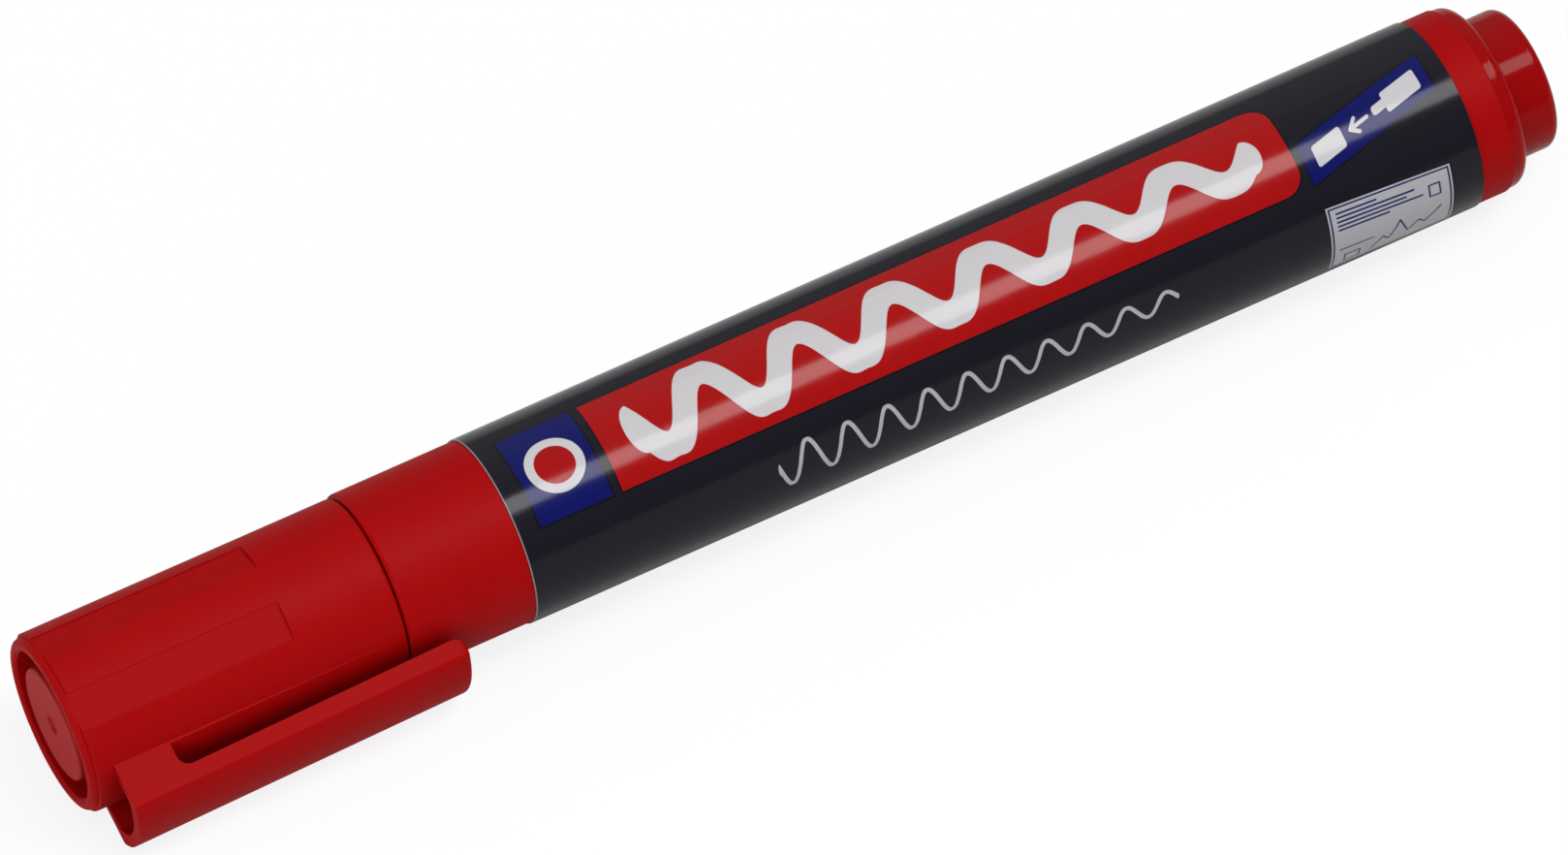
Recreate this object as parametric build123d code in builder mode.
from build123d import *
import math
import os

# A capped whiteboard marker lying on a table, in millimetres.
# +X runs along the marker from the cap's closed end to the rear plug, and +Z is up.
# The marker rests on its barrel and on one corner of the pocket clip, which stops it rolling.
# Distances named "at" are measured along the marker from the cap's end face.

# ---- lengths along the marker ----
cap_length = 29.0
cap_gap = 0.1
grip_length = 11.35
label_length = 89.15
rear_band_length = 3.05
plug_flange = 1.55
stub_length = 4.0

# ---- outside radii ----
barrel_front_radius = 8.09
barrel_taper = 0.185
stub_radius = 6.3
nose_radius = 4.7
nib_radius = 1.9

# ---- steps between neighbouring surfaces ----
cap_step = 0.2
plug_step = 0.145
panel_depth = 0.27
neck_step = 0.3
button_step = 0.45

# ---- walls ----
cap_wall = 1.3
cap_mouth_wall = 0.94
rim_width = 1.08
barrel_wall = 1.14
neck_wall = 1.2
inner_cap_wall = 0.7
inner_cap_floor = 1.3
plug_wall = 1.2
holder_wall = 1.2
nose_tip_wall = 0.75
label_thickness = 0.12
wrap_thickness = 0.1

# ---- how far a cutting shape runs past the surface it opens ----
overcut = 1.0

# ---- fits ----
running_clearance = 0.05
film_clearance = 0.13
free_gap = 0.3
flange_clearance = 0.35

# ---- cap details ----
ring_length = 0.6
rim_rounding = 0.5
rim_flare = 0.25
land_rounding = 0.2
edge_rounding = 0.12
seat_rounding = 0.35
mouth_flare = 0.15
mouth_bore_setback = 1.2
mouth_bore_ramp = 0.4
end_recess = 1.8
web_thickness = 1.2
button_setback = 0.2
gate_radius = 0.9
gate_depth = 0.25
button_rounding = 0.25
sleeve_rounding = 0.3
cup_step_setback = 1.4
panel_count = 5
panel_width = 3.4
panel_length = 19.2
panel_pitch = 360 / 7

# ---- clip: heights are above the cap's surface ----
clip_start = 2.2
clip_length = 30.9
clip_half_width = 4.7
clip_height = 4.03
clip_arch = 1.52
clip_inner_height = 0.91
clip_relief = 0.86
clip_slope = 0.62
clip_wall = 1.0
clip_corner = 0.6
clip_tip_rounding = 0.5
clip_lead_in = 1.1
bridge_length = 5.0
slot_corner = 1.0
strip_rise = 0.16
clip_root_height = 3.0

# ---- nose and ink system ----
nib_room = 4.5
nib_exposed = 4.8
nose_cone_length = 5.6
collar_length = 3.2
collar_step = 0.5
holder_flange = 1.2
holder_setback = 0.7
guide_setback = 3.0
guide_length = 1.2
guide_ramp = 0.3
shoulder_wall = 3.3
chamber_ramp = 1.5
reservoir_setback = 4.5
nib_in_reservoir = 4.5
nib_rear_rounding = 0.3
plug_spigot = 6.65
flange_rounding = 0.95
stub_root_rounding = 0.25
stub_rounding = 0.85
spigot_rounding = 0.3
vent_count = 3
vent_radius = 0.3

# ---- places along the marker, from the cap's end face ----
shoulder_at = cap_length + cap_gap
label_front_at = shoulder_at + grip_length
label_rear_at = label_front_at + label_length
barrel_rear_at = label_rear_at + rear_band_length
stub_front_at = barrel_rear_at + plug_flange
overall_length = stub_front_at + stub_length
web_end_at = end_recess + web_thickness
cup_floor_at = button_setback + inner_cap_floor
nib_tip_at = cup_floor_at + nib_room
holder_tip_at = nib_tip_at + nib_exposed
collar_front_at = holder_tip_at + nose_cone_length
holder_flange_at = collar_front_at + collar_length
neck_front_at = holder_flange_at + holder_flange
inner_cap_end_at = holder_flange_at - free_gap
chamber_front_at = shoulder_at + shoulder_wall
neck_bore_end_at = chamber_front_at - chamber_ramp
holder_rear_at = neck_bore_end_at - holder_setback
reservoir_front_at = chamber_front_at + reservoir_setback
nib_rear_at = reservoir_front_at + nib_in_reservoir
plug_inner_at = barrel_rear_at - plug_spigot
guide_at = shoulder_at - guide_setback
bridge_end_at = clip_start + bridge_length
clip_end_at = clip_start + clip_length

# ---- radii that follow from the sizes above ----
barrel_rear_radius = barrel_front_radius + barrel_taper
cap_radius = barrel_front_radius - cap_step
ring_radius = cap_radius - panel_depth
end_opening_radius = ring_radius - rim_width
cap_inner_radius = cap_radius - cap_wall
cap_mouth_radius = cap_radius - cap_mouth_wall
guide_radius = cap_mouth_radius - running_clearance
neck_radius = guide_radius - neck_step
neck_bore_radius = neck_radius - neck_wall
holder_flange_radius = neck_radius - flange_clearance
chamber_radius = barrel_front_radius - barrel_wall
wrap_radius = chamber_radius - film_clearance
reservoir_radius = wrap_radius - wrap_thickness
plug_flange_radius = barrel_rear_radius - plug_step
sleeve_inner_radius = nose_radius + running_clearance
sleeve_radius = sleeve_inner_radius + inner_cap_wall
button_radius = sleeve_radius - button_step
clip_crown = cap_radius + clip_height
clip_shoulder = clip_crown - clip_arch
clip_inner = cap_radius + clip_inner_height
clip_relief_radius = cap_radius + clip_relief
draft = barrel_taper / (barrel_rear_at - shoulder_at)


def barrel_radius(at):
    """Outside radius of the barrel's moulded taper."""
    return barrel_front_radius + draft * (at - shoulder_at)


# ---- how the marker lies ----
# The clip's outer face is an arc through both shoulders and the crown.
arch_radius = (clip_half_width**2 + clip_arch**2) / (2 * clip_arch)
arch_centre = clip_crown - arch_radius
corner_across = clip_half_width - clip_corner
corner_out = arch_centre + math.sqrt((arch_radius - clip_corner) ** 2 - corner_across**2)
corner_reach = math.hypot(corner_across, corner_out)
corner_angle = math.degrees(math.atan2(corner_across, corner_out))
# The axis is as high as the label's rear edge is wide, and the clip's corner touches the table.
axis_z = barrel_radius(label_rear_at) + label_thickness
lie_angle = math.degrees(math.asin((axis_z - clip_corner) / corner_reach)) - corner_angle
# The origin is below the middle of the marker's outline, so the axis sits to one side of it.
clip_reach = arch_centre * math.cos(math.radians(lie_angle)) + arch_radius
axis_y = (clip_reach - axis_z) / 2

out_y = -math.cos(math.radians(lie_angle))
out_z = -math.sin(math.radians(lie_angle))
end_x = -overall_length / 2

spin_axis = Axis((0, axis_y, axis_z), (1, 0, 0))
profile_plane = Plane(origin=(end_x, axis_y, axis_z), x_dir=(1, 0, 0), z_dir=(0, -1, 0))
clip_side_plane = Plane(origin=(end_x, axis_y, axis_z), x_dir=(1, 0, 0), z_dir=(0, -out_z, out_y))


def section_plane(at, turn=0):
    """Plane across the marker, whose second direction points out through the clip, or turned from it."""
    angle = math.radians(180 + lie_angle + turn)
    origin = (end_x + at, axis_y, axis_z)
    return Plane(origin=origin, x_dir=(0, math.sin(angle), -math.cos(angle)), z_dir=(1, 0, 0))


def turned(outline, rounded=()):
    """Solid of revolution from (distance, radius) corners; rounded lists (corner number, radius)."""
    with BuildSketch(profile_plane) as half:
        with BuildLine():
            Polyline(*outline, close=True)
        make_face()
        for number, radius in rounded:
            corner = half.vertices().sort_by_distance((*outline[number], 0))[0]
            fillet(corner, radius)
    return revolve(half.sketch, axis=spin_axis, mode=Mode.PRIVATE)


def clip_section(at, inset=0.0):
    """Arched section of the clip, or of the hollow inside it, at one distance along the marker."""
    lean = clip_slope * (at - clip_start) / clip_length
    half_width = clip_half_width - inset
    shoulder = clip_shoulder - lean - inset
    crown = clip_crown - lean - inset
    with BuildSketch(section_plane(at)) as section:
        with BuildLine():
            Polyline(
                (-half_width, shoulder),
                (-half_width, clip_root_height),
                (half_width, clip_root_height),
                (half_width, shoulder),
            )
            ThreePointArc((half_width, shoulder), (0, crown), (-half_width, shoulder))
        make_face()
        corners = section.vertices().sort_by(Axis.Y)[-2:]
        fillet(corners, clip_corner - inset / 2)
    return section.sketch


# ---- cap clip: an arched channel, open at the cap's closed end and towards the cap ----
with BuildPart() as clip:
    loft([clip_section(clip_start), clip_section(clip_end_at)])
    tip_centre = (end_x + clip_end_at, axis_y, axis_z)
    tip_edges = clip.faces().sort_by(Axis.X)[-1].edges().sort_by_distance(tip_centre)
    fillet(tip_edges[1:], clip_tip_rounding)
    hollow_end_at = clip_end_at - clip_wall
    loft([clip_section(clip_start, clip_wall), clip_section(hollow_end_at, clip_wall)], mode=Mode.SUBTRACT)
    # The slot lets cloth or a tray's rim in between the clip and the cap.
    inner_at_tip = clip_inner - clip_slope
    lead_at = clip_end_at - clip_lead_in
    lead_top = inner_at_tip + clip_lead_in
    with BuildSketch(clip_side_plane) as slot:
        with BuildLine():
            Polyline(
                (lead_at, inner_at_tip),
                (bridge_end_at, clip_inner),
                (bridge_end_at, 0),
                (clip_end_at + overcut, 0),
                (clip_end_at + overcut, lead_top),
                (clip_end_at, lead_top),
            )
            RadiusArc((clip_end_at, lead_top), (lead_at, inner_at_tip), clip_lead_in)
        make_face()
        slot_end = slot.vertices().sort_by_distance((bridge_end_at, clip_inner, 0))[0]
        fillet(slot_end, slot_corner)
    extrude(slot.sketch, amount=clip_half_width + overcut, both=True, mode=Mode.SUBTRACT)
    # The closed tip is relieved so that it clears the barrel.
    relief = [
        (bridge_end_at, 0),
        (bridge_end_at, clip_relief_radius),
        (clip_end_at + overcut, clip_relief_radius),
        (clip_end_at + overcut, 0),
    ]
    add(turned(relief), mode=Mode.SUBTRACT)

# ---- cap shell: an open tube with the clip, flat grip panels and a web that carries the inner cap ----
with BuildPart() as cap_shell:
    cap_outline = [
        (0, 0),
        (0, ring_radius),
        (ring_length, ring_radius),
        (ring_length, cap_radius),
        (cap_length, cap_radius),
        (cap_length, 0),
    ]
    add(turned(cap_outline, [(1, rim_rounding), (3, land_rounding), (4, seat_rounding)]))
    for number in range(panel_count):
        turn = 180 + panel_pitch * (number - (panel_count - 1) / 2)
        with BuildSketch(section_plane(ring_length, turn)) as panel:
            with Locations((0, ring_radius)):
                Rectangle(panel_width, 2 * overcut, align=(Align.CENTER, Align.MIN))
        extrude(panel.sketch, amount=panel_length, mode=Mode.SUBTRACT)
    # A raised strip runs under the clip from its bridge and dies out at the cap's mouth.
    strip_at = bridge_end_at - overcut
    strip_end_at = cap_length - seat_rounding
    with BuildSketch(section_plane(strip_at)) as strip:
        with Locations((0, cap_radius)):
            Rectangle(2 * clip_half_width, cap_radius)
    strip_block = extrude(strip.sketch, amount=strip_end_at - strip_at, mode=Mode.PRIVATE)
    strip_outline = [
        (strip_at, 0),
        (strip_at, cap_radius + strip_rise),
        (strip_end_at, cap_radius),
        (strip_end_at, 0),
    ]
    add(turned(strip_outline) & strip_block)
    add(clip.part)
    end_recess_outline = [
        (-overcut, 0),
        (-overcut, end_opening_radius + rim_flare + overcut),
        (0, end_opening_radius + rim_flare),
        (rim_flare, end_opening_radius),
        (end_recess, end_opening_radius),
        (end_recess, button_radius),
        (web_end_at, button_radius),
        (web_end_at, cap_inner_radius),
        (neck_front_at - mouth_bore_setback - mouth_bore_ramp, cap_inner_radius),
        (neck_front_at - mouth_bore_setback, cap_mouth_radius),
        (cap_length - mouth_flare, cap_mouth_radius),
        (cap_length, cap_mouth_radius + mouth_flare),
        (cap_length + overcut, cap_mouth_radius + mouth_flare),
        (cap_length + overcut, 0),
    ]
    add(turned(end_recess_outline), mode=Mode.SUBTRACT)
cap_shell.part.label = "cap_shell"

# ---- inner cap: a soft cup that closes over the nose and keeps the nib wet ----
with BuildPart() as inner_cap:
    cup_radius = sleeve_inner_radius - button_step
    inner_cap_outline = [
        (button_setback, 0),
        (button_setback, button_radius),
        (web_end_at, button_radius),
        (web_end_at, sleeve_radius),
        (inner_cap_end_at, sleeve_radius),
        (inner_cap_end_at, sleeve_inner_radius),
        (collar_front_at - cup_step_setback, sleeve_inner_radius),
        (collar_front_at - cup_step_setback - button_step, cup_radius),
        (cup_floor_at, cup_radius),
        (cup_floor_at, 0),
    ]
    add(turned(inner_cap_outline, [(1, button_rounding), (4, sleeve_rounding), (8, inner_cap_floor / 2)]))
    gate_outline = [
        (0, 0),
        (0, gate_radius),
        (button_setback, gate_radius),
        (button_setback + gate_depth, gate_radius - gate_depth),
        (button_setback + gate_depth, 0),
    ]
    add(turned(gate_outline), mode=Mode.SUBTRACT)
inner_cap.part.label = "inner_cap"

# ---- barrel: one tapered moulding with a stepped neck, open at the rear ----
with BuildPart() as barrel:
    barrel_outline = [
        (neck_front_at, neck_bore_radius),
        (neck_front_at, neck_radius),
        (guide_at, neck_radius),
        (guide_at + guide_ramp, guide_radius),
        (guide_at + guide_ramp + guide_length, guide_radius),
        (guide_at + 2 * guide_ramp + guide_length, neck_radius),
        (shoulder_at, neck_radius),
        (shoulder_at, barrel_front_radius),
        (barrel_rear_at, barrel_rear_radius),
        (barrel_rear_at, chamber_radius),
        (chamber_front_at, chamber_radius),
        (neck_bore_end_at, neck_bore_radius),
    ]
    add(turned(barrel_outline, [(1, neck_wall / 4), (7, seat_rounding), (8, edge_rounding)]))
barrel.part.label = "barrel"

# ---- printed label: a thin sleeve round the barrel ----
with BuildPart() as label_sleeve:
    label_front_radius = barrel_radius(label_front_at)
    label_rear_radius = barrel_radius(label_rear_at)
    label_outline = [
        (label_front_at, label_front_radius),
        (label_front_at, label_front_radius + label_thickness),
        (label_rear_at, label_rear_radius + label_thickness),
        (label_rear_at, label_rear_radius),
    ]
    add(turned(label_outline))
label_sleeve.part.label = "label_sleeve"

# ---- end plug: pressed into the rear, with a stub that the cap posts over ----
with BuildPart() as end_plug:
    spigot_inner_radius = chamber_radius - plug_wall
    stub_inner_radius = stub_radius - plug_wall
    end_plug_outline = [
        (plug_inner_at, spigot_inner_radius),
        (plug_inner_at, chamber_radius),
        (barrel_rear_at, chamber_radius),
        (barrel_rear_at, plug_flange_radius),
        (stub_front_at, plug_flange_radius),
        (stub_front_at, stub_radius),
        (overall_length, stub_radius),
        (overall_length, 0),
        (overall_length - plug_wall, 0),
        (overall_length - plug_wall, stub_inner_radius),
        (barrel_rear_at, stub_inner_radius),
        (barrel_rear_at - plug_wall, spigot_inner_radius),
    ]
    plug_rounding = [
        (1, spigot_rounding),
        (4, flange_rounding),
        (5, stub_root_rounding),
        (6, stub_rounding),
    ]
    add(turned(end_plug_outline, plug_rounding))
end_plug.part.label = "end_plug"

# ---- nib holder: the nose insert, with a sealing collar and air vents beside the nib ----
with BuildPart() as nib_holder:
    socket_at = neck_front_at + holder_wall
    holder_outline = [
        (holder_tip_at, nib_radius),
        (holder_tip_at, nib_radius + nose_tip_wall),
        (collar_front_at, nose_radius - collar_step),
        (collar_front_at + collar_step, nose_radius),
        (holder_flange_at, nose_radius),
        (holder_flange_at, holder_flange_radius),
        (neck_front_at, holder_flange_radius),
        (neck_front_at, neck_bore_radius),
        (holder_rear_at, neck_bore_radius),
        (holder_rear_at, neck_bore_radius - holder_wall),
        (socket_at + holder_wall, neck_bore_radius - holder_wall),
        (socket_at, nib_radius),
    ]
    add(turned(holder_outline, [(1, nose_tip_wall / 2), (5, edge_rounding)]))
    with BuildSketch(section_plane(holder_tip_at - overcut)) as vents:
        with PolarLocations(nib_radius, vent_count):
            Circle(vent_radius)
    extrude(vents.sketch, amount=socket_at + holder_wall - holder_tip_at, mode=Mode.SUBTRACT)
nib_holder.part.label = "nib_holder"

# ---- nib: a bullet-tipped fibre rod that reaches back into the reservoir ----
with BuildPart() as nib:
    nib_outline = [
        (nib_tip_at, 0),
        (nib_tip_at, nib_radius * 0.4),
        (nib_tip_at + nib_radius, nib_radius),
        (nib_rear_at, nib_radius),
        (nib_rear_at, 0),
    ]
    add(turned(nib_outline, [(1, nib_radius / 4), (2, nib_radius * 0.6), (3, nib_rear_rounding)]))
nib.part.label = "nib"

# ---- ink reservoir: a fibre rod with a socket for the nib's rear end ----
with BuildPart() as ink_reservoir:
    reservoir_outline = [
        (reservoir_front_at, nib_radius),
        (reservoir_front_at, reservoir_radius),
        (plug_inner_at, reservoir_radius),
        (plug_inner_at, 0),
        (nib_rear_at, 0),
        (nib_rear_at, nib_radius),
    ]
    add(turned(reservoir_outline))
ink_reservoir.part.label = "ink_reservoir"

# ---- reservoir wrap: the film round the fibre rod ----
with BuildPart() as reservoir_wrap:
    wrap_outline = [
        (reservoir_front_at, reservoir_radius),
        (reservoir_front_at, wrap_radius),
        (plug_inner_at, wrap_radius),
        (plug_inner_at, reservoir_radius),
    ]
    add(turned(wrap_outline))
reservoir_wrap.part.label = "reservoir_wrap"

# ---- one file for each piece ----
os.makedirs("parts", exist_ok=True)
export_step(cap_shell.part, "parts/cap_shell.step")
export_step(inner_cap.part, "parts/inner_cap.step")
export_step(barrel.part, "parts/barrel.step")
export_step(label_sleeve.part, "parts/label_sleeve.step")
export_step(end_plug.part, "parts/end_plug.step")
export_step(nib_holder.part, "parts/nib_holder.step")
export_step(nib.part, "parts/nib.step")
export_step(ink_reservoir.part, "parts/ink_reservoir.step")
export_step(reservoir_wrap.part, "parts/reservoir_wrap.step")
